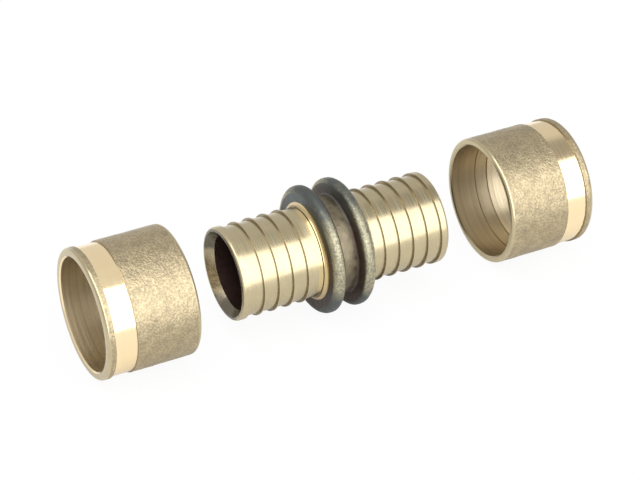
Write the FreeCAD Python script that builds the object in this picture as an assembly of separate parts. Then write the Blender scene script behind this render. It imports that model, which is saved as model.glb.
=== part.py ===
import FreeCAD, Part
import os

os.makedirs("parts", exist_ok=True)

# Press coupling for plastic pipe, laid out along the X axis as in the photo:
# a turned body with a ringed tail on each side of two flanges, and the two
# loose press sleeves, one beyond each tail. All lengths are in millimetres.

# The pipe that the coupling joins
PIPE_OUTSIDE_R = 12.5
PIPE_WALL = 2.3
PIPE_BORE_R = PIPE_OUTSIDE_R - PIPE_WALL

# Fits
RING_GRIP = 0.25         # how far a ring's crest stands into the pipe's wall
SLEEVE_CLEARANCE = 0.05  # between the pipe and the tight land of a sleeve
RING_CREST_R = PIPE_BORE_R + RING_GRIP

# Press sleeve
SLEEVE_LENGTH = 21.2
SLEEVE_WALL = 1.9
SLEEVE_LAND_R = PIPE_OUTSIDE_R + SLEEVE_CLEARANCE
SLEEVE_OUTSIDE_R = SLEEVE_LAND_R + SLEEVE_WALL
BORE_STEP = 0.2          # each of the two steps from the land to the mouth
MOUTH_LENGTH = 6.4       # widest part of the bore, at the inner end
MIDDLE_LENGTH = 3.0
BAND_LENGTH = 4.9        # polished band turned into the forged skin
BAND_DEPTH = 0.3
END_RING_LENGTH = 1.8    # skin left standing between the band and the end
SLEEVE_END_ROUND = 0.7
SLEEVE_BORE_CHAMFER = 0.3

# Flanges of the body, as tall as the sleeves that are pressed up to them
FLANGE_R = SLEEVE_OUTSIDE_R
FLANGE_WIDTH = 2.7
FLANGE_ROUND = 0.95
GROOVE_WIDTH = 4.7       # takes the jaw of the press tool
GROOVE_FLOOR_R = RING_CREST_R + 0.45
GROOVE_ROUND = 0.5

# Ringed tails
RING_COUNT = 5
RING_PITCH = 3.5
RING_WIDTH = 0.3
RING_HEIGHT = 0.5        # from the plain tail to a ring's crest
TAIL_R = RING_CREST_R - RING_HEIGHT
ROOT_LENGTH = 4.25       # from the flange to the first ring
ROOT_TAPER = 1.85        # part of the root that rises as a slight cone
ROOT_RISE = 0.4
ROOT_ROUND = 0.8
ROOT_R = TAIL_R + ROOT_RISE
NOSE_LENGTH = 1.8        # the last ring is the widest, and rounded off
NOSE_ROUND = 0.6

# Waterway through the body
TAIL_WALL = 1.4          # from the plain tail to the bore
BORE_R = TAIL_R - TAIL_WALL
MOUTH_RIM = 0.25         # flat end face between the nose round and the mouth
MOUTH_FLARE = 1.95
MOUTH_R = RING_CREST_R - NOSE_ROUND - MOUTH_RIM

# Places of the loose sleeves
LEFT_GAP = 11.45         # from the end of the tail to the sleeve
RIGHT_GAP = 13.85

FLANGE_INNER_X = GROOVE_WIDTH / 2
FLANGE_OUTER_X = FLANGE_INNER_X + FLANGE_WIDTH
FIRST_RING_X = FLANGE_OUTER_X + ROOT_LENGTH
LAST_RING_X = FIRST_RING_X + (RING_COUNT - 1) * RING_PITCH
BODY_END_X = LAST_RING_X + NOSE_LENGTH


def turned(outline):
    """Turn a closed outline of (x, radius) points about the X axis."""
    points = [FreeCAD.Vector(x, 0, r) for x, r in outline + outline[:1]]
    face = Part.Face(Part.makePolygon(points))
    return face.revolve(FreeCAD.Vector(0, 0, 0), FreeCAD.Vector(1, 0, 0), 360)


def rims(solid, places):
    """Circular edges of a turned solid at the given (x, radius) places."""
    found = []
    for edge in solid.Edges:
        if edge.Curve.TypeId != "Part::GeomCircle":
            continue
        for x, r in places:
            if abs(edge.Curve.Center.x - x) < 1e-6 and abs(edge.Curve.Radius - r) < 1e-6:
                found.append(edge)
    return found


def both_sides(places):
    """The same places on the left and on the right of the body's middle."""
    return places + [(-x, r) for x, r in places]


def tail_outline():
    """Root cone, then the plain tail with its rings, the last one at the end."""
    outline = [(FLANGE_OUTER_X, ROOT_R), (FLANGE_OUTER_X + ROOT_TAPER, TAIL_R)]
    for number in range(RING_COUNT):
        ring_x = FIRST_RING_X + number * RING_PITCH
        outline.append((ring_x, TAIL_R))
        outline.append((ring_x, RING_CREST_R))
        if number < RING_COUNT - 1:
            outline.append((ring_x + RING_WIDTH, RING_CREST_R))
            outline.append((ring_x + RING_WIDTH, TAIL_R))
    outline.append((BODY_END_X, RING_CREST_R))
    return outline


def coupling_body():
    """Flanges, groove, both tails and the waterway, turned in one piece."""
    outer = [
        (FLANGE_INNER_X, GROOVE_FLOOR_R),
        (FLANGE_INNER_X, FLANGE_R),
        (FLANGE_OUTER_X, FLANGE_R),
    ] + tail_outline()
    inner = [(BODY_END_X, MOUTH_R), (BODY_END_X - MOUTH_FLARE, BORE_R)]
    right = outer + inner
    left = [(-x, r) for x, r in reversed(right)]
    body = turned(right + left)
    body = body.makeFillet(FLANGE_ROUND, rims(body, both_sides([
        (FLANGE_INNER_X, FLANGE_R),
        (FLANGE_OUTER_X, FLANGE_R),
    ])))
    body = body.makeFillet(ROOT_ROUND, rims(body, both_sides([(FLANGE_OUTER_X, ROOT_R)])))
    body = body.makeFillet(NOSE_ROUND, rims(body, both_sides([(BODY_END_X, RING_CREST_R)])))
    return body.makeFillet(GROOVE_ROUND, rims(body, both_sides([(FLANGE_INNER_X, GROOVE_FLOOR_R)])))


def press_sleeve():
    """Sleeve with its inner end at x = 0 and its polished band towards +X."""
    middle_r = SLEEVE_LAND_R + BORE_STEP
    mouth_r = middle_r + BORE_STEP
    band_r = SLEEVE_OUTSIDE_R - BAND_DEPTH
    band_end_x = SLEEVE_LENGTH - END_RING_LENGTH
    band_start_x = band_end_x - BAND_LENGTH
    middle_end_x = MOUTH_LENGTH + MIDDLE_LENGTH
    sleeve = turned([
        (0, SLEEVE_OUTSIDE_R),
        (band_start_x, SLEEVE_OUTSIDE_R),
        (band_start_x, band_r),
        (band_end_x, band_r),
        (band_end_x, SLEEVE_OUTSIDE_R),
        (SLEEVE_LENGTH, SLEEVE_OUTSIDE_R),
        (SLEEVE_LENGTH, SLEEVE_LAND_R),
        (middle_end_x, SLEEVE_LAND_R),
        (middle_end_x, middle_r),
        (MOUTH_LENGTH, middle_r),
        (MOUTH_LENGTH, mouth_r),
        (0, mouth_r),
    ])
    sleeve = sleeve.makeFillet(SLEEVE_END_ROUND, rims(sleeve, [
        (0, SLEEVE_OUTSIDE_R),
        (SLEEVE_LENGTH, SLEEVE_OUTSIDE_R),
    ]))
    return sleeve.makeChamfer(SLEEVE_BORE_CHAMFER, rims(sleeve, [
        (0, mouth_r),
        (SLEEVE_LENGTH, SLEEVE_LAND_R),
    ]))


body = coupling_body()
sleeve = press_sleeve()

right_sleeve = sleeve.copy()
right_sleeve.translate(FreeCAD.Vector(BODY_END_X + RIGHT_GAP, 0, 0))

left_sleeve = sleeve.mirror(FreeCAD.Vector(0, 0, 0), FreeCAD.Vector(1, 0, 0))
left_sleeve.translate(FreeCAD.Vector(-BODY_END_X - LEFT_GAP, 0, 0))

body.exportStep("parts/coupling_body.step")
left_sleeve.exportStep("parts/left_press_sleeve.step")
right_sleeve.exportStep("parts/right_press_sleeve.step")
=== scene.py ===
# %% [markdown]
# # Press coupling for plastic pipe
# A straight brass coupling joins two plastic pipes. Each pipe end is widened,
# pushed over a ringed tail, and clamped there by a sleeve that a tool presses
# up to the flange. The photo shows the turned body between its two loose
# sleeves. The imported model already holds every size, so this lesson adds what
# the eye sees: crisp turned steps, a rough forged skin, and thirteen finishes
# of brass, from a polished band to dark scale.

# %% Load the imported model
import math

import bmesh
import bpy
from mathutils import Matrix, Vector, noise


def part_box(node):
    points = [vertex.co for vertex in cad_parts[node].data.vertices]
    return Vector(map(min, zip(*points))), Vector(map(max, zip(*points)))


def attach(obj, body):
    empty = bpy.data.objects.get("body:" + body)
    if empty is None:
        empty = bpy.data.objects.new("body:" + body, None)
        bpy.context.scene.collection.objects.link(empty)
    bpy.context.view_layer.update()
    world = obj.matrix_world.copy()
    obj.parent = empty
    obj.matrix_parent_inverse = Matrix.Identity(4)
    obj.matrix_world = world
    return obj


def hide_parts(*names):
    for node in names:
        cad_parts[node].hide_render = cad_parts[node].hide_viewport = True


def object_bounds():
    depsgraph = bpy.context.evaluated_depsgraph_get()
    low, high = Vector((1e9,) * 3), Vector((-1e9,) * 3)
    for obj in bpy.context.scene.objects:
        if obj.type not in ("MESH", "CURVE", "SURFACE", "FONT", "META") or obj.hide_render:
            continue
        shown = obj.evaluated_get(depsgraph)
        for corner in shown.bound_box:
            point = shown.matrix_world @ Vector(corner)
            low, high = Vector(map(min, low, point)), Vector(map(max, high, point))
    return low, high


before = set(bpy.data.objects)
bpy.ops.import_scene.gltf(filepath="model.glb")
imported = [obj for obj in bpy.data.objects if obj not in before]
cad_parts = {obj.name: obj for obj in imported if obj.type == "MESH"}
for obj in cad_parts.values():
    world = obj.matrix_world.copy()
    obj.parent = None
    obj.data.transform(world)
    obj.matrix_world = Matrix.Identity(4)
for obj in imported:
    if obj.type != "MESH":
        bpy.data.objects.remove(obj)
cad_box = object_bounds()
MM = 0.001

print("size in mm:", [round((high - low) / MM, 1) for low, high in zip(*cad_box)])

# %% [markdown]
# ## Camera
# The photo was taken from the left front and above, with a long lens, so the
# circles are narrow ovals and there is little perspective. A camera can be
# dragged until it looks right, but these angles were fitted instead: they lay
# the outlines of both sleeves over those in the photo, and the camera looks at
# the middle of the body. View transform Standard keeps the white ground white.

# %% Camera
VIEW_AZIMUTH = math.radians(26.78)
VIEW_ELEVATION = math.radians(32.49)
VIEW_ROLL = math.radians(-0.73)
VIEW_DISTANCE = 493.4 * MM
VIEW_AIM = Vector((-1.14, 0.85, 1.19)) * MM
LENS = 126.5
SENSOR = 36


def add_camera():
    data = bpy.data.cameras.new("photo_camera")
    data.lens, data.sensor_width = LENS, SENSOR
    camera = bpy.data.objects.new("photo_camera", data)
    turn = Matrix.Rotation(-VIEW_AZIMUTH, 3, "Z")
    tilt = Matrix.Rotation(math.pi / 2 - VIEW_ELEVATION, 3, "X")
    roll = Matrix.Rotation(VIEW_ROLL, 3, "Z")
    facing = turn @ tilt @ roll
    camera.rotation_euler = facing.to_euler()
    camera.location = VIEW_AIM + facing @ Vector((0, 0, VIEW_DISTANCE))
    bpy.context.scene.collection.objects.link(camera)
    bpy.context.scene.camera = camera
    return camera


bpy.context.scene.view_settings.view_transform = "Standard"
print("camera at", [round(v, 3) for v in add_camera().location])

# %% [markdown]
# ## Shader arithmetic
# A finish is easier to read as a formula than as a web of nodes. This small
# class wraps a socket: arithmetic on it adds Math nodes, and one method adds
# any other node, with its settings first and its inputs after them.


# %% Shader helper
class Socket:
    """An output socket that can be added, multiplied and passed to nodes."""

    def __init__(self, tree, output=None):
        self.tree, self.output = tree, output

    def node(self, kind, settings=None, inputs=None, result=0):
        made = self.tree.nodes.new(kind)
        for key, value in (settings or {}).items():
            setattr(made, key, value)
        for key, value in (inputs or {}).items():
            if isinstance(value, Socket):
                self.tree.links.new(value.output, made.inputs[key])
            else:
                made.inputs[key].default_value = value
        return None if result is None else Socket(self.tree, made.outputs[result])

    def math(self, operation, first, second=0.0):
        return self.node("ShaderNodeMath", {"operation": operation}, {0: first, 1: second})

    def __add__(self, other):
        return self.math("ADD", self, other)

    def __sub__(self, other):
        return self.math("SUBTRACT", self, other)

    def __rsub__(self, other):
        return self.math("SUBTRACT", other, self)

    def __mul__(self, other):
        return self.math("MULTIPLY", self, other)

    __radd__ = __add__
    __rmul__ = __mul__


# %% [markdown]
# A few nodes come back in every formula: one coordinate of a vector, the kind of
# ray that is being followed, and a range of values stretched to another range.


# %% Common nodes
def new_surface(owner):
    """Empty node tree of a material or world, as a shader to build on."""
    owner.use_nodes = True
    owner.node_tree.nodes.clear()
    return Socket(owner.node_tree)


def coordinate(shader, vector, axis):
    return shader.node("ShaderNodeSeparateXYZ", inputs={0: vector}, result=axis)


def is_ray(shader, kind):
    """1 for a ray of the given kind and 0 for any other."""
    return shader.node("ShaderNodeLightPath", result=f"Is {kind} Ray")


def stretch_range(shader, value, low, high, to_low=0.0, to_high=1.0):
    return shader.node("ShaderNodeMapRange", inputs={
        "Value": value, "From Min": low, "From Max": high, "To Min": to_low, "To Max": to_high,
    })


# %% [markdown]
# ## Floor and background
# The product shot has a plain white ground. A single square just under the part
# stands for the sheet of paper. It is no piece of the model.

# %% Floor
FLOOR_SIZE = 8.0
FLOOR_FRONT = -0.14


def floor_mesh():
    """A square that starts just in front of the part and runs far behind it."""
    shape = bmesh.new()
    bmesh.ops.create_grid(shape, x_segments=1, y_segments=1, size=FLOOR_SIZE / 2)
    bmesh.ops.translate(
        shape, verts=shape.verts, vec=(0, FLOOR_FRONT + FLOOR_SIZE / 2, cad_box[0].z)
    )
    mesh = bpy.data.meshes.new("floor")
    shape.to_mesh(mesh)
    shape.free()
    return mesh


floor = bpy.data.objects.new("floor", floor_mesh())
bpy.context.scene.collection.objects.link(floor)
print("floor at z =", round(cad_box[0].z, 4))

# %% [markdown]
# The camera sees the paper mostly as its own even white, with a little of its lit
# surface left in, so that a faint shadow stays under the pieces. Metal sees more
# of the lit paper, which is darker close to the pieces and under them. Lit paper
# alone would not come out as evenly white as the ground in the photo.

# %% White paper
PAPER = (0.8, 0.8, 0.8, 1)
WHITE_TO_CAMERA = 0.93
WHITE_TO_METAL = 0.3


def white_paper():
    material = bpy.data.materials.new("white_paper")
    shader = new_surface(material)
    metal = is_ray(shader, "Glossy") + is_ray(shader, "Transmission")
    share = is_ray(shader, "Camera") * WHITE_TO_CAMERA + metal * WHITE_TO_METAL
    paper = shader.node("ShaderNodeBsdfDiffuse", inputs={"Color": PAPER})
    white = shader.node("ShaderNodeEmission", inputs={"Strength": 1.0})
    mixed = shader.node("ShaderNodeMixShader", inputs={0: share, 1: paper, 2: white})
    shader.node("ShaderNodeOutputMaterial", inputs={"Surface": mixed}, result=None)
    return material


floor.data.materials.append(white_paper())
print("white in the paper:", WHITE_TO_CAMERA, "to the camera,", WHITE_TO_METAL, "to metal")

# %% [markdown]
# ## Light
# Round polished brass shows the whole room. In the photo each piece has a broad
# white highlight in front with straight, level edges, and all the rest is lit
# almost evenly. A picture of a studio wrapped round the scene would do too, but
# a few plain shapes can be moved one by one. So the room is a bright dome, a
# little darker to the right, and a dark card hangs overhead on the right: it is
# the grey patch on top of the right polished band.

# %% Dome
ROOM = 0.825
RIGHT_X = (0.28, 0.46)
RIGHT_SHADE = 0.12
CARD_X = (0.34, 0.42)
CARD_Z = (0.76, 0.84)
CARD_SHADE = 0.5


def add_dome():
    """Bright room for the metal, and plain white where the camera looks past it."""
    world = bpy.data.worlds.new("dome")
    bpy.context.scene.world = world
    shader = new_surface(world)
    direction = shader.node("ShaderNodeTexCoord", result="Generated")
    across = coordinate(shader, direction, "X")
    height = coordinate(shader, direction, "Z")
    right = stretch_range(shader, across, *RIGHT_X)
    card = stretch_range(shader, across, *CARD_X) * stretch_range(shader, height, *CARD_Z)
    room = ROOM * (1.0 - RIGHT_SHADE * right) * (1.0 - CARD_SHADE * card)
    camera = is_ray(shader, "Camera")
    background = shader.node("ShaderNodeBackground", inputs={
        "Color": (1, 1, 1, 1), "Strength": camera + (1.0 - camera) * room,
    })
    shader.node("ShaderNodeOutputWorld", inputs={"Surface": background}, result=None)


add_dome()
print("room radiance:", ROOM, "and", round(ROOM * (1 - RIGHT_SHADE), 3), "on the right")

# %% [markdown]
# The highlights come from two large softboxes, one above the other. The front
# one reaches from just below the horizon to where the highlights end above. The
# upper one ends to the left of what the cylinders mirror, so only faces that
# look to the left, such as the rounds of the flanges, still see it. Area lamps
# are used, because their straight edges show in the metal as in the photo.

# %% Softboxes
SOFTBOX_DISTANCE = 2.5
SOFTBOX_RADIANCE = 2.3
SOFTBOX_COLOUR = (0.98, 1.0, 1.03)
SOFTBOXES = [
    # name, lower and upper edge in degrees above the horizon, reach to left and right
    ("front_softbox", -7, 66, -0.45, 0.8),
    ("top_softbox", 66, 106, -0.6, 0.12),
]


def add_softbox(name, lower, upper, left, right):
    """Area lamp in front, as wide as the given slopes along X seen from the origin."""
    data = bpy.data.lights.new(name, "AREA")
    data.shape = "RECTANGLE"
    middle, half = math.radians((lower + upper) / 2), math.radians((upper - lower) / 2)
    data.size = (right - left) * SOFTBOX_DISTANCE
    data.size_y = 2 * math.tan(half) * SOFTBOX_DISTANCE
    data.color = SOFTBOX_COLOUR
    data.energy = SOFTBOX_RADIANCE * math.pi * data.size * data.size_y
    lamp = bpy.data.objects.new(name, data)
    outwards = Vector((0, -math.cos(middle), math.sin(middle)))
    lamp.location = (outwards + Vector(((left + right) / 2, 0, 0))) * SOFTBOX_DISTANCE
    lamp.rotation_euler = outwards.to_track_quat("Z", "Y").to_euler()
    bpy.context.scene.collection.objects.link(lamp)
    print(name, "power", round(data.energy, 1), "W")


for softbox in SOFTBOXES:
    add_softbox(*softbox)

# %% [markdown]
# ## Brass finishes
# All finishes are the same metal. What differs is how it was worked: the band
# is polished, the tails and bores carry turning marks, the forged skin
# is blasted, and the flanges keep the dull oxide of the forge. Each finish is
# three formulas in the object's own space: colour, roughness and fine height.

# %% Material builder
FINISHES = {}


def add_finish(key, name, colour, roughness, height, depth, metallic=1.0):
    """Build one finish; the depth is that of the bump which the height makes."""
    material = bpy.data.materials.new(name)
    shader = new_surface(material)
    place = shader.node("ShaderNodeTexCoord", result="Object")
    bump = shader.node("ShaderNodeBump", inputs={
        "Strength": 1.0, "Distance": depth, "Height": height(shader, place),
    })
    surface = shader.node("ShaderNodeBsdfPrincipled", inputs={
        "Base Color": colour(shader, place),
        "Roughness": roughness(shader, place),
        "Metallic": metallic,
        "Normal": bump,
    })
    shader.node("ShaderNodeOutputMaterial", inputs={"Surface": surface}, result=None)
    FINISHES[key] = material
    print("finish", key, "has", len(material.node_tree.nodes), "nodes")


# %% [markdown]
# Two noises drive every formula. One is an even grain, for a blasted or oxidised
# surface. The other varies along the axis only, so it draws rings all the way
# round, like the marks that a turning tool leaves.

# %% Noise fields
ALONG_AXIS = (1, 0.01, 0.01)
COLOUR_A, COLOUR_B, COLOUR_RESULT = 6, 7, 2


def grain(shader, place, size, detail=2.0):
    """Noise from 0 to 1 with features of about the given size in metres."""
    return shader.node(
        "ShaderNodeTexNoise", inputs={"Vector": place, "Scale": 1 / size, "Detail": detail}
    )


def rings(shader, place, size, detail=3.0):
    """Turning marks: noise along the axis only, the same all the way round."""
    along = shader.node("ShaderNodeMapping", inputs={"Vector": place, "Scale": ALONG_AXIS})
    return grain(shader, along, size, detail)


def blend(shader, share, first, second):
    """Mix two colours; a Mix node keeps its colour sockets behind its others."""
    inputs = {0: share, COLOUR_A: first, COLOUR_B: second}
    return shader.node("ShaderNodeMix", {"data_type": "RGBA"}, inputs, result=COLOUR_RESULT)


# %% [markdown]
# Most finishes need only simple formulas: two tones, two roughnesses, or a height,
# each following one noise. Most of a noise lies around its middle, so limits say
# which of its values count as all of the first tone and all of the second. The
# closer they are, the clearer the patches. Making the formulas by three small
# functions keeps each finish short enough to compare with the next.

# %% Simple formulas
SOFT_LIMITS = (0.3, 0.7)
CLEAR_LIMITS = (0.35, 0.65)


def two_tones(field, size, first, second, limits=None, **options):
    def colour(shader, place):
        share = field(shader, place, size, **options)
        if limits:
            share = stretch_range(shader, share, *limits)
        return blend(shader, share, first, second)
    return colour


def uneven(field, size, smooth, rough):
    def roughness(shader, place):
        return stretch_range(shader, field(shader, place, size), *SOFT_LIMITS, smooth, rough)
    return roughness


def relief(field, size, **options):
    def height(shader, place):
        return field(shader, place, size, **options)
    return height


# %% [markdown]
# ## Forged skin
# The outside of a sleeve keeps the skin of its forged and blasted blank: dull
# brass with small golden specks where the shot has opened the oxide, more of them
# in some patches than in others. A second, broader noise makes those patches,
# because one noise alone looks the same everywhere.

# %% Forged skin
SPECK_SIZE = 0.42 * MM
SPECK_LIMITS = (0.4, 0.62)
SPECK_SHARE = 0.45
MORE_IN_PATCHES = 0.25
PATCH_SIZE = 2.5 * MM
DULL_SKIN = (0.31, 0.256, 0.163, 1)
PATCH_SKIN = (0.37, 0.305, 0.192, 1)
OPEN_SPECK = (0.60, 0.485, 0.30, 1)


def skin_colour(shader, place):
    speck = stretch_range(shader, grain(shader, place, SPECK_SIZE), *SPECK_LIMITS)
    patch = stretch_range(shader, grain(shader, place, PATCH_SIZE, detail=4.0), *CLEAR_LIMITS)
    base = blend(shader, patch, DULL_SKIN, PATCH_SKIN)
    return blend(shader, speck * (patch * MORE_IN_PATCHES + SPECK_SHARE), base, OPEN_SPECK)


add_finish(
    "skin", "forged_skin", skin_colour, uneven(grain, 0.5 * MM, 0.38, 0.5),
    relief(grain, SPECK_SIZE), depth=0.09 * MM,
)

# %% [markdown]
# ## Turned brass
# The polished band is turned last with a keen tool and shines like a mirror. The
# tails and the ends of the sleeves are plainly machined. The root of the left
# tail is painted a more golden colour, a painted reflection of the golden glow at
# its collar. Walls of steps are painted darker, as painted shade for the dark line
# at each step. The marks are a bump, as they are too fine to be modelled.

# %% Turned brass
add_finish(
    "band", "polished_band",
    two_tones(rings, 0.9 * MM, (0.88, 0.70, 0.43, 1), (0.94, 0.76, 0.47, 1)),
    uneven(rings, 0.3 * MM, 0.14, 0.2), relief(rings, 0.12 * MM), depth=0.002 * MM,
)
add_finish(
    "machined", "machined_brass",
    two_tones(grain, 3 * MM, (0.47, 0.395, 0.245, 1), (0.56, 0.475, 0.30, 1)),
    uneven(rings, 0.4 * MM, 0.2, 0.34), relief(rings, 0.25 * MM), depth=0.002 * MM,
)
# Golden root: a more golden colour, a painted reflection of the glow at the collar.
add_finish(
    "fresh", "golden_root_painted_reflection",
    two_tones(rings, 0.35 * MM, (0.52, 0.39, 0.19, 1), (0.70, 0.55, 0.30, 1)),
    uneven(rings, 0.3 * MM, 0.14, 0.26), relief(rings, 0.2 * MM), depth=0.003 * MM,
)
# Step walls: painted darker, a painted shade for the dark line at each step.
add_finish(
    "step", "step_painted_shade",
    two_tones(grain, 0.8 * MM, (0.22, 0.18, 0.11, 1), (0.36, 0.295, 0.19, 1)),
    uneven(grain, 0.4 * MM, 0.24, 0.36), relief(grain, 0.2 * MM), depth=0.01 * MM,
)

# %% [markdown]
# ## Bore of a sleeve
# The mouth and the middle of the bore are left as the drill cut them, in broad
# dull rings. The tight land presses on the pipe, so it is reamed and brighter.
# Clear limits set the rings apart, because little light falls in here.

# %% Bore of a sleeve
add_finish(
    "bore", "bored_brass",
    two_tones(rings, 0.7 * MM, (0.40, 0.33, 0.22, 1), (0.48, 0.405, 0.275, 1), CLEAR_LIMITS),
    uneven(rings, 0.5 * MM, 0.34, 0.46), relief(rings, 0.3 * MM), depth=0.006 * MM,
)
add_finish(
    "land", "reamed_brass",
    two_tones(rings, 0.7 * MM, (0.56, 0.465, 0.315, 1), (0.68, 0.58, 0.405, 1), CLEAR_LIMITS),
    uneven(rings, 0.5 * MM, 0.32, 0.44), relief(rings, 0.4 * MM), depth=0.004 * MM,
)

# %% [markdown]
# ## Rims of the flanges
# Blasting has cleaned the rims to a grey-green sand. Over it lies painted shade in
# the colour of dark scale, in an uneven share: none in front, where the lamp
# falls, most on top, and more on the left flange. The left flange also has a
# painted black shadow line where its rim meets the groove. Such places could be
# painted by hand, but a formula of height and side needs no picture, and a noise
# gives it the ragged edge.

# %% Scale on the rims
LIT_HEIGHT = 3.5 * MM
RIM_SHADE_TO_LEFT = 0.2
CLOUD_SIZE = 2 * MM
RAGGED_EDGE = 4 * MM
RIM_SHADE_LIMITS = (8.8 * MM, 12.3 * MM)
RIM_SHADOW_LINE_X = (-2.75 * MM, -2.6 * MM)


def rim_shade_share(shader, place):
    """How much painted shade, in the colour of dark scale, lies on a rim, with a ragged edge."""
    ragged = grain(shader, place, CLOUD_SIZE) * RAGGED_EDGE
    above = shader.math("ABSOLUTE", coordinate(shader, place, "Z") - LIT_HEIGHT)
    apart = above - coordinate(shader, place, "X") * RIM_SHADE_TO_LEFT
    return stretch_range(shader, apart + ragged, *RIM_SHADE_LIMITS)


# Painted shadow: a black line where the left rim meets the groove.
def rim_shadow_line(shader, place):
    across = coordinate(shader, place, "X")
    on_left = shader.math("LESS_THAN", across, 0)
    return stretch_range(shader, across, *RIM_SHADOW_LINE_X) * on_left


# Painted shade: the rim is left unshaded at this height, in front, and darker above and below.
print("least scale at a height of", round(LIT_HEIGHT / MM, 1), "mm")

# %% [markdown]
# The sand itself is like the skin of the sleeves, but greener and more even, with
# broad clouds under pale specks. The painted shade and the painted shadow line
# cover it.

# %% Rims of the flanges
SAND_SIZE = 0.4 * MM
SAND_LIMITS = (0.42, 0.64)
SAND_SHARE = 0.8


def rim_colour(shader, place):
    speck = stretch_range(shader, grain(shader, place, SAND_SIZE), *SAND_LIMITS)
    cloud = stretch_range(shader, grain(shader, place, CLOUD_SIZE), *CLEAR_LIMITS)
    base = blend(shader, cloud, (0.22, 0.205, 0.145, 1), (0.32, 0.295, 0.20, 1))
    sand = blend(shader, speck * SAND_SHARE, base, (0.52, 0.475, 0.33, 1))
    # Painted shade in the colour of scale, then the painted shadow line.
    rim_shaded = blend(shader, rim_shade_share(shader, place), sand, (0.11, 0.118, 0.11, 1))
    return blend(shader, rim_shadow_line(shader, place), rim_shaded, (0.05, 0.045, 0.035, 1))


add_finish(
    "rim", "sandy_rim", rim_colour, uneven(grain, 0.5 * MM, 0.42, 0.58),
    relief(grain, 0.45 * MM), depth=0.09 * MM,
)

# %% [markdown]
# ## Faces of the flanges and the groove
# The outer faces keep their dark forge oxide. It is painted blue-grey above and
# purple-brown below, as painted light and shade by height. The walls of the groove
# between the flanges carry maroon scale that no tool has touched, painted darker
# as painted shade of the narrow groove and greyer towards the top as painted
# light. The floor of the groove was rubbed by the press tool. Oxide is no bare
# metal, so the faces and walls are a little less metallic.

# %% Faces of the flanges and the groove
PAINTED_LIGHT_ABOVE = (6 * MM, 11 * MM)
PAINTED_GREY_ABOVE = (7 * MM, 13 * MM)


# Dark forge oxide; blue-grey above and purple-brown below is painted light and shade by height.
def face_colour(shader, place):
    ragged = grain(shader, place, 1.5 * MM, detail=3.0) * RAGGED_EDGE
    painted_light_tint = stretch_range(shader, coordinate(shader, place, "Z") + ragged, *PAINTED_LIGHT_ABOVE)
    return blend(shader, painted_light_tint, (0.085, 0.065, 0.06, 1), (0.095, 0.115, 0.112, 1))


# Maroon scale painted dark as painted shade of the groove, greyer towards the top as painted light.
def wall_colour(shader, place):
    cloud = stretch_range(shader, grain(shader, place, 1.2 * MM, detail=3.0), *SOFT_LIMITS)
    maroon = blend(shader, cloud, (0.08, 0.052, 0.04, 1), (0.135, 0.098, 0.072, 1))
    grey = stretch_range(shader, coordinate(shader, place, "Z"), *PAINTED_GREY_ABOVE)
    return blend(shader, grey, maroon, (0.12, 0.125, 0.11, 1))


add_finish(
    "face", "forge_oxide_painted_light", face_colour, uneven(grain, 0.8 * MM, 0.34, 0.5),
    relief(grain, 0.35 * MM, detail=3.0), depth=0.03 * MM, metallic=0.85,
)
add_finish(
    "scale", "dark_scale_painted_shade", wall_colour, uneven(grain, 0.8 * MM, 0.45, 0.6),
    relief(grain, 0.3 * MM, detail=3.0), depth=0.02 * MM, metallic=0.8,
)
add_finish(
    "floor", "groove_floor",
    two_tones(
        grain, 1.6 * MM, (0.15, 0.125, 0.085, 1), (0.25, 0.21, 0.14, 1), SOFT_LIMITS, detail=3.0
    ),
    uneven(grain, 0.8 * MM, 0.34, 0.5),
    relief(grain, 0.3 * MM, detail=3.0), depth=0.02 * MM,
)

# %% [markdown]
# ## Mouth and waterway
# The flare of the mouth is golden in the middle of the wall that the camera sees
# and painted darker grey above and below it: painted shade, laid on by height, so
# that it stays the same from every side. The photo can't tell tarnish from a
# reflection, and tarnish is chosen because it looks the same from every side.
# The waterway behind is so deep that it looks almost black, a little maroon; this
# darkness is painted into its colour as painted shade.

# %% Mouth and waterway
GOLDEN_HEIGHT = -3.3 * MM
MOUTH_SHADE_LIMITS = (4.6 * MM, 5.7 * MM)


def mouth_colour(shader, place):
    cloud = grain(shader, place, 2.5 * MM)
    unshaded = blend(shader, cloud, (0.38, 0.32, 0.205, 1), (0.49, 0.415, 0.275, 1))
    apart = shader.math("ABSOLUTE", coordinate(shader, place, "Z") - GOLDEN_HEIGHT)
    # Painted shade: darker grey above and below the golden middle, by height.
    mouth_shade = stretch_range(shader, apart + cloud * MM, *MOUTH_SHADE_LIMITS)
    return blend(shader, mouth_shade, unshaded, (0.17, 0.15, 0.11, 1))


add_finish(
    "mouth", "mouth_brass", mouth_colour, uneven(grain, 1 * MM, 0.2, 0.3),
    relief(grain, 0.5 * MM), depth=0.004 * MM,
)
# Painted shade: the waterway's near-black colour stands for its depth.
add_finish(
    "waterway", "waterway_painted_shade",
    two_tones(grain, 2 * MM, (0.05, 0.026, 0.022, 1), (0.10, 0.055, 0.044, 1)),
    uneven(grain, 0.6 * MM, 0.4, 0.6), relief(rings, 0.4 * MM), depth=0.01 * MM, metallic=0.8,
)

# %% [markdown]
# ## Turned pieces
# Everything here was turned on a lathe, so every piece is an outline spun about
# the X axis. Cylinders with loop cuts would do too, but an outline holds each
# size once. It is cut into stretches, one for each finish, because the forged
# skin, the polished band and the machined bore meet at sharp circles. Stretches
# that need relief are divided finely before they are spun.

# %% Spin a sector
SECTORS = 16


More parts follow.
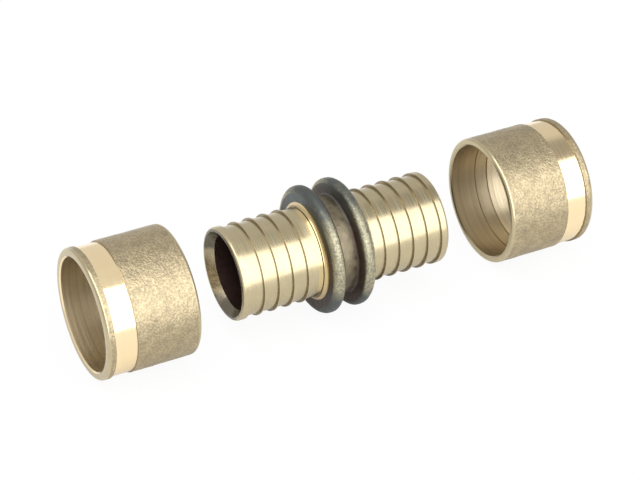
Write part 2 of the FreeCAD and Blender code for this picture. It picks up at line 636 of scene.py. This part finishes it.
def spin_sector(points, cell, steps):
    """Spin one open outline of (x, radius) points through one sector."""
    strip = bmesh.new()
    corners = [strip.verts.new((x, 0, radius)) for x, radius in points]
    edges = [strip.edges.new(pair) for pair in zip(corners, corners[1:])]
    for edge in edges:
        cuts = int(edge.calc_length() / cell)
        if cuts:
            bmesh.ops.subdivide_edges(strip, edges=[edge], cuts=cuts)
    bmesh.ops.spin(
        strip, geom=strip.verts[:] + strip.edges[:], cent=(0, 0, 0), axis=(1, 0, 0),
        angle=2 * math.pi / SECTORS, steps=steps // SECTORS,
    )
    return strip


print("a sector spans", 360 / SECTORS, "degrees")

# %% [markdown]
# The spin operator could go all the way round, but it slows down sharply with the
# number of points. So one sector is spun and then repeated, and a weld joins the
# sectors and the stretches where they meet.

# %% Join the sectors
WELD = 0.001 * MM


def turned_shape(stretches, finishes, steps):
    """Join stretches of (finish, cell, points), all the way round, into one shape."""
    shape = bmesh.new()
    sector = Matrix.Rotation(2 * math.pi / SECTORS, 4, "X")
    for finish, cell, points in stretches:
        strip = spin_sector(points, cell, steps)
        for face in strip.faces:
            face.material_index = finishes.index(finish)
        part = bpy.data.meshes.new("sector")
        strip.to_mesh(part)
        strip.free()
        for _ in range(SECTORS):
            shape.from_mesh(part)
            part.transform(sector)
        bpy.data.meshes.remove(part)
    bmesh.ops.remove_doubles(shape, verts=shape.verts, dist=WELD)
    bmesh.ops.recalc_face_normals(shape, faces=shape.faces)
    return shape


# %% [markdown]
# ## Relief of the forged skin
# A forged blank comes out of its die with a sandy, shot-blasted skin. Its grain
# is coarse enough to see in the outline, so it is real relief: every point of the
# skin moves along its own normal by a sum of a fine grain and broader waves. A
# bump alone would shade the same but leave a smooth outline. Corners that were
# turned stay crisp, and the forged ones are shaded softly.

# %% Relief
GRAIN = 0.42 * MM
GRAIN_DEPTH = 0.035 * MM
WAVE = 2.2 * MM
WAVE_DEPTH = 0.05 * MM
TURNED_CORNER = math.radians(20)
FORGED_CORNER = math.radians(60)


def roughen(shape, rough, amount):
    """Move the points of the rough finishes by their share of rough faces."""
    shape.normal_update()
    moves = []
    for vert in shape.verts:
        share = sum(face.material_index in rough for face in vert.link_faces) / len(vert.link_faces)
        if share:
            fine = noise.noise(vert.co / GRAIN) * GRAIN_DEPTH
            broad = noise.noise(vert.co / WAVE) * WAVE_DEPTH
            moves.append((vert, vert.normal * (fine + broad) * share * amount))
    for vert, move in moves:
        vert.co += move
    print("relief moves", len(moves), "of", len(shape.verts), "points")


def sharpen(shape, rough):
    """Shade smoothly, but keep each turned corner crisp."""
    for face in shape.faces:
        face.smooth = True
    for edge in shape.edges:
        turned = all(face.material_index not in rough for face in edge.link_faces)
        if edge.calc_face_angle(0) > (TURNED_CORNER if turned else FORGED_CORNER):
            edge.smooth = False


# %% [markdown]
# ## From outline to piece
# A piece is its stretches, its finishes, the finishes that carry relief, and the
# share of the relief that it has. It takes the place of one plain node of the
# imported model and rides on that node's body.


# %% Piece builder
def turned_piece(node, body, stretches, rough, amount, steps):
    finishes = sorted({finish for finish, _, _ in stretches})
    rough = {finishes.index(finish) for finish in rough}
    shape = turned_shape(stretches, finishes, steps)
    roughen(shape, rough, amount)
    sharpen(shape, rough)
    mesh = bpy.data.meshes.new(node + "_dressed")
    shape.to_mesh(mesh)
    shape.free()
    for finish in finishes:
        mesh.materials.append(FINISHES[finish])
    piece = bpy.data.objects.new(node + "_dressed", mesh)
    bpy.context.scene.collection.objects.link(piece)
    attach(piece, body)
    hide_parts(node)
    print(piece.name, "has", len(mesh.polygons), "faces")


# %% [markdown]
# ## Press sleeves
# Both sleeves are the same part, turned round. The forged skin runs from the
# rounded inner end to the polished band, and a narrow ring of skin stands
# between the band and the outer end. The bore steps in twice, down to the
# tight land. The walls of the band follow the relief of the skin beside them.
# Faces are small where there is relief and long where the metal is smooth.

# %% Press sleeve sizes
FINE = 0.2 * MM
COARSE = 3 * MM
BAND_LENGTH = 4.9 * MM
BAND_DEPTH = 0.3 * MM
END_RING = 1.8 * MM
END_ROUND = 0.7 * MM
LAND_R = 12.55 * MM
BORE_STEP = 0.2 * MM
MOUTH_LENGTH = 6.4 * MM
MIDDLE_LENGTH = 3.0 * MM
BORE_CHAMFER = 0.3 * MM
SLEEVE_STEPS = 448
SLEEVE_RELIEF = 1.0

print("tight land:", round(LAND_R / MM, 2), "mm in radius")

# %% [markdown]
# The outline runs once round the wall of the sleeve: along the outside, over the
# outer end, and back through the bore. Its round corners are short arcs.


# %% Outline of a sleeve
def arc(x, radius, size, start, end, steps=6):
    """Points of a round corner; 0 degrees points along +X and 90 outwards."""
    angles = [math.radians(start + (end - start) * step / steps) for step in range(steps + 1)]
    return [(x + size * math.cos(angle), radius + size * math.sin(angle)) for angle in angles]


def sleeve_stretches(length, outside):
    """Outline of a sleeve, its inner end at 0 and its band towards +X."""
    middle_r = LAND_R + BORE_STEP
    mouth_r = middle_r + BORE_STEP
    band_end = length - END_RING
    band_start = band_end - BAND_LENGTH
    band_r = outside - BAND_DEPTH
    middle_end = MOUTH_LENGTH + MIDDLE_LENGTH
    inner_round = arc(END_ROUND, outside - END_ROUND, END_ROUND, 180, 90)
    outer_round = arc(length - END_ROUND, outside - END_ROUND, END_ROUND, 90, 0)
    return [
        ("machined", COARSE, inner_round),
        ("skin", FINE, [(END_ROUND, outside), (band_start, outside)]),
        ("step", FINE, [(band_start, outside), (band_start, band_r)]),
        ("band", COARSE, [(band_start, band_r), (band_end, band_r)]),
        ("step", FINE, [(band_end, band_r), (band_end, outside)]),
        ("skin", FINE, [(band_end, outside), (length - END_ROUND, outside)]),
        ("machined", COARSE, outer_round + [(length, LAND_R + BORE_CHAMFER)]),
        ("band", COARSE, [(length, LAND_R + BORE_CHAMFER), (length - BORE_CHAMFER, LAND_R)]),
        ("land", COARSE, [(length - BORE_CHAMFER, LAND_R), (middle_end, LAND_R)]),
        ("bore", COARSE, [
            (middle_end, LAND_R), (middle_end, middle_r), (MOUTH_LENGTH, middle_r),
            (MOUTH_LENGTH, mouth_r), (BORE_CHAMFER, mouth_r),
        ]),
        ("machined", COARSE, [
            (BORE_CHAMFER, mouth_r), (0, mouth_r + BORE_CHAMFER), inner_round[0],
        ]),
    ]


# %% [markdown]
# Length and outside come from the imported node, so the dressed sleeve always
# fits it. The inner end is the one that looks at the body.


# %% Press sleeves
def placed(stretches, start, direction):
    """The same stretches from a start along X, or mirrored with direction -1."""
    return [
        (finish, cell, [(start + direction * x, radius) for x, radius in points])
        for finish, cell, points in stretches
    ]


def press_sleeve(node, body, inner_end, outwards):
    low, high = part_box(node)
    outline = sleeve_stretches(high.x - low.x, (high.z - low.z) / 2)
    turned_piece(
        node, body, placed(outline, inner_end, outwards),
        {"skin", "step"}, SLEEVE_RELIEF, SLEEVE_STEPS,
    )


press_sleeve("left_press_sleeve", "left_sleeve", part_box("left_press_sleeve")[1].x, -1)
press_sleeve("right_press_sleeve", "right_sleeve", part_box("right_press_sleeve")[0].x, 1)

# %% [markdown]
# ## Coupling body
# The body was forged as a blank with two flanges and then turned: both tails
# and the bore are machined, while the flanges and the groove between them keep
# the skin and oxide of the forge. The flanges' outer shoulders are rounder than
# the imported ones, because they look so in the photo.

# %% Coupling body sizes
FLANGE_WIDTH = 2.7 * MM
FLANGE_ROUND = 0.95 * MM
SHOULDER_ROUND = 1.4 * MM
GROOVE_WIDTH = 4.7 * MM
GROOVE_FLOOR_R = 10.9 * MM
GROOVE_ROUND = 0.5 * MM
FLANGE_INNER = GROOVE_WIDTH / 2
FLANGE_OUTER = FLANGE_INNER + FLANGE_WIDTH
TAIL_R = 9.95 * MM
ROOT_TAPER = 1.85 * MM
RING_COUNT = 5
RING_PITCH = 3.5 * MM
RING_R = 10.45 * MM
RING_WIDTH = 0.3 * MM
FIRST_RING = 9.3 * MM
NOSE_ROUND = 0.6 * MM
MOUTH_RIM = 0.25 * MM
MOUTH_FLARE = 1.95 * MM
WATERWAY_R = 8.55 * MM
BODY_STEPS = 384
BODY_RELIEF = 0.6

print("wall of a tail:", round((TAIL_R - WATERWAY_R) / MM, 2), "mm")

# %% [markdown]
# The two roots beside the flanges differ in the photo. On the left the tool went
# in deep and left a round collar, a fine groove and a slight cone. They are less
# than a millimetre, but they catch the light, so they are modelled. The collar and
# cone are painted more golden, as painted reflection, and the groove darker, as
# painted shade.

# %% Left root
ROOT_ARC_STEPS = 12
COLLAR_RISE = 0.3 * MM
COLLAR_ROUND = 0.8 * MM
COLLAR_END_DEGREES = 262
GROOVE_LINE = 0.2 * MM
CONE_RISE = 0.2 * MM


def machined_root():
    """Root of the left tail: a round collar, a fine groove and a slight cone."""
    collar = arc(
        FLANGE_OUTER + COLLAR_ROUND, TAIL_R + COLLAR_RISE + COLLAR_ROUND, COLLAR_ROUND,
        180, COLLAR_END_DEGREES, ROOT_ARC_STEPS,
    )
    cone_start = collar[-1][0] + GROOVE_LINE
    groove_bottom = (cone_start - GROOVE_LINE / 2, TAIL_R)
    cone_top = (cone_start, TAIL_R + CONE_RISE)
    return [
        ("fresh", COARSE, collar),
        ("step", COARSE, [collar[-1], groove_bottom, cone_top]),
        ("fresh", COARSE, [cone_top, (FLANGE_OUTER + ROOT_TAPER, TAIL_R)]),
    ]


print("left root:", [finish for finish, _, _ in machined_root()])

# %% [markdown]
# On the right the cut stopped short of the flange. The round of the forging was
# left standing with its sandy skin, and the cut ends at a small lip.

# %% Right root
FORGED_ROUND = 1.7 * MM
LIP = 0.12 * MM


def forged_root():
    """Root of the right tail, where the forged fillet was left beside the flange."""
    fillet = arc(
        FLANGE_OUTER + FORGED_ROUND, TAIL_R + LIP + FORGED_ROUND, FORGED_ROUND,
        180, 270, ROOT_ARC_STEPS,
    )
    end = fillet[-1][0]
    return [
        ("rim", FINE, fillet),
        ("step", COARSE, [(end, TAIL_R + LIP), (end, TAIL_R)]),
        ("machined", COARSE, [(end, TAIL_R), (FLANGE_OUTER + ROOT_TAPER, TAIL_R)]),
    ]


print("right root:", [finish for finish, _, _ in forged_root()])

# %% [markdown]
# Each tail grips its pipe with five low rings. A loop over their pitch makes them,
# so that one number moves them all. The last one is wide and rounded into the
# nose, and the inner third of that round shares the mouth's finish with its
# painted shade.

# %% Tails
NOSE_STEPS = 9
NOSE_SPLIT = 6


def tail_stretches(end):
    """Plain tail with its raised rings, the last one wide and rounded."""
    stretches = []
    place = FLANGE_OUTER + ROOT_TAPER
    for number in range(RING_COUNT):
        start = FIRST_RING + number * RING_PITCH
        stretches.append(("machined", COARSE, [(place, TAIL_R), (start, TAIL_R)]))
        stretches.append(("step", COARSE, [(start, TAIL_R), (start, RING_R)]))
        place = start + RING_WIDTH
        if number < RING_COUNT - 1:
            stretches.append(("machined", COARSE, [(start, RING_R), (place, RING_R)]))
            stretches.append(("step", COARSE, [(place, RING_R), (place, TAIL_R)]))
    nose = arc(end - NOSE_ROUND, RING_R - NOSE_ROUND, NOSE_ROUND, 90, 0, NOSE_STEPS)
    stretches.append(("machined", COARSE, [(start, RING_R)] + nose[:NOSE_SPLIT + 1]))
    stretches.append(("mouth", COARSE, nose[NOSE_SPLIT:]))
    return stretches


# %% [markdown]
# The body is made as two halves that meet in the middle of the groove, so that
# each size serves both sides and only the roots differ.


# %% Half of the body
def half_body(end, flange_r, root):
    """Stretches of the right half, from the middle of the groove outwards."""
    groove = arc(FLANGE_INNER - GROOVE_ROUND, GROOVE_FLOOR_R + GROOVE_ROUND, GROOVE_ROUND, -90, 0)
    rim = arc(FLANGE_INNER + FLANGE_ROUND, flange_r - FLANGE_ROUND, FLANGE_ROUND, 180, 90)
    rim += arc(FLANGE_OUTER - SHOULDER_ROUND, flange_r - SHOULDER_ROUND, SHOULDER_ROUND, 90, 0)
    *_, root_points = root[0]
    nose_r = RING_R - NOSE_ROUND
    bore_start = (end - MOUTH_FLARE, WATERWAY_R)
    return [
        ("floor", FINE, [(0, GROOVE_FLOOR_R), groove[0]]),
        ("scale", FINE, groove + [rim[0]]),
        ("rim", FINE, rim),
        ("face", FINE, [rim[-1], root_points[0]]),
        *root,
        *tail_stretches(end),
        ("mouth", COARSE, [(end, nose_r), (end, nose_r - MOUTH_RIM), bore_start]),
        ("waterway", COARSE, [bore_start, (0, WATERWAY_R)]),
    ]


# %% [markdown]
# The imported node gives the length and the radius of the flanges. Their relief
# is shallower than that of the sleeves, as the photo shows a finer skin there.


# %% Coupling body
def coupling_body(node, body):
    low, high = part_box(node)
    flange_r = (high.z - low.z) / 2
    right = half_body(high.x, flange_r, forged_root())
    left = placed(half_body(high.x, flange_r, machined_root()), 0, -1)
    turned_piece(
        node, body, right + left,
        {"rim", "face", "floor", "scale"}, BODY_RELIEF, BODY_STEPS,
    )


coupling_body("coupling_body", "fitting")
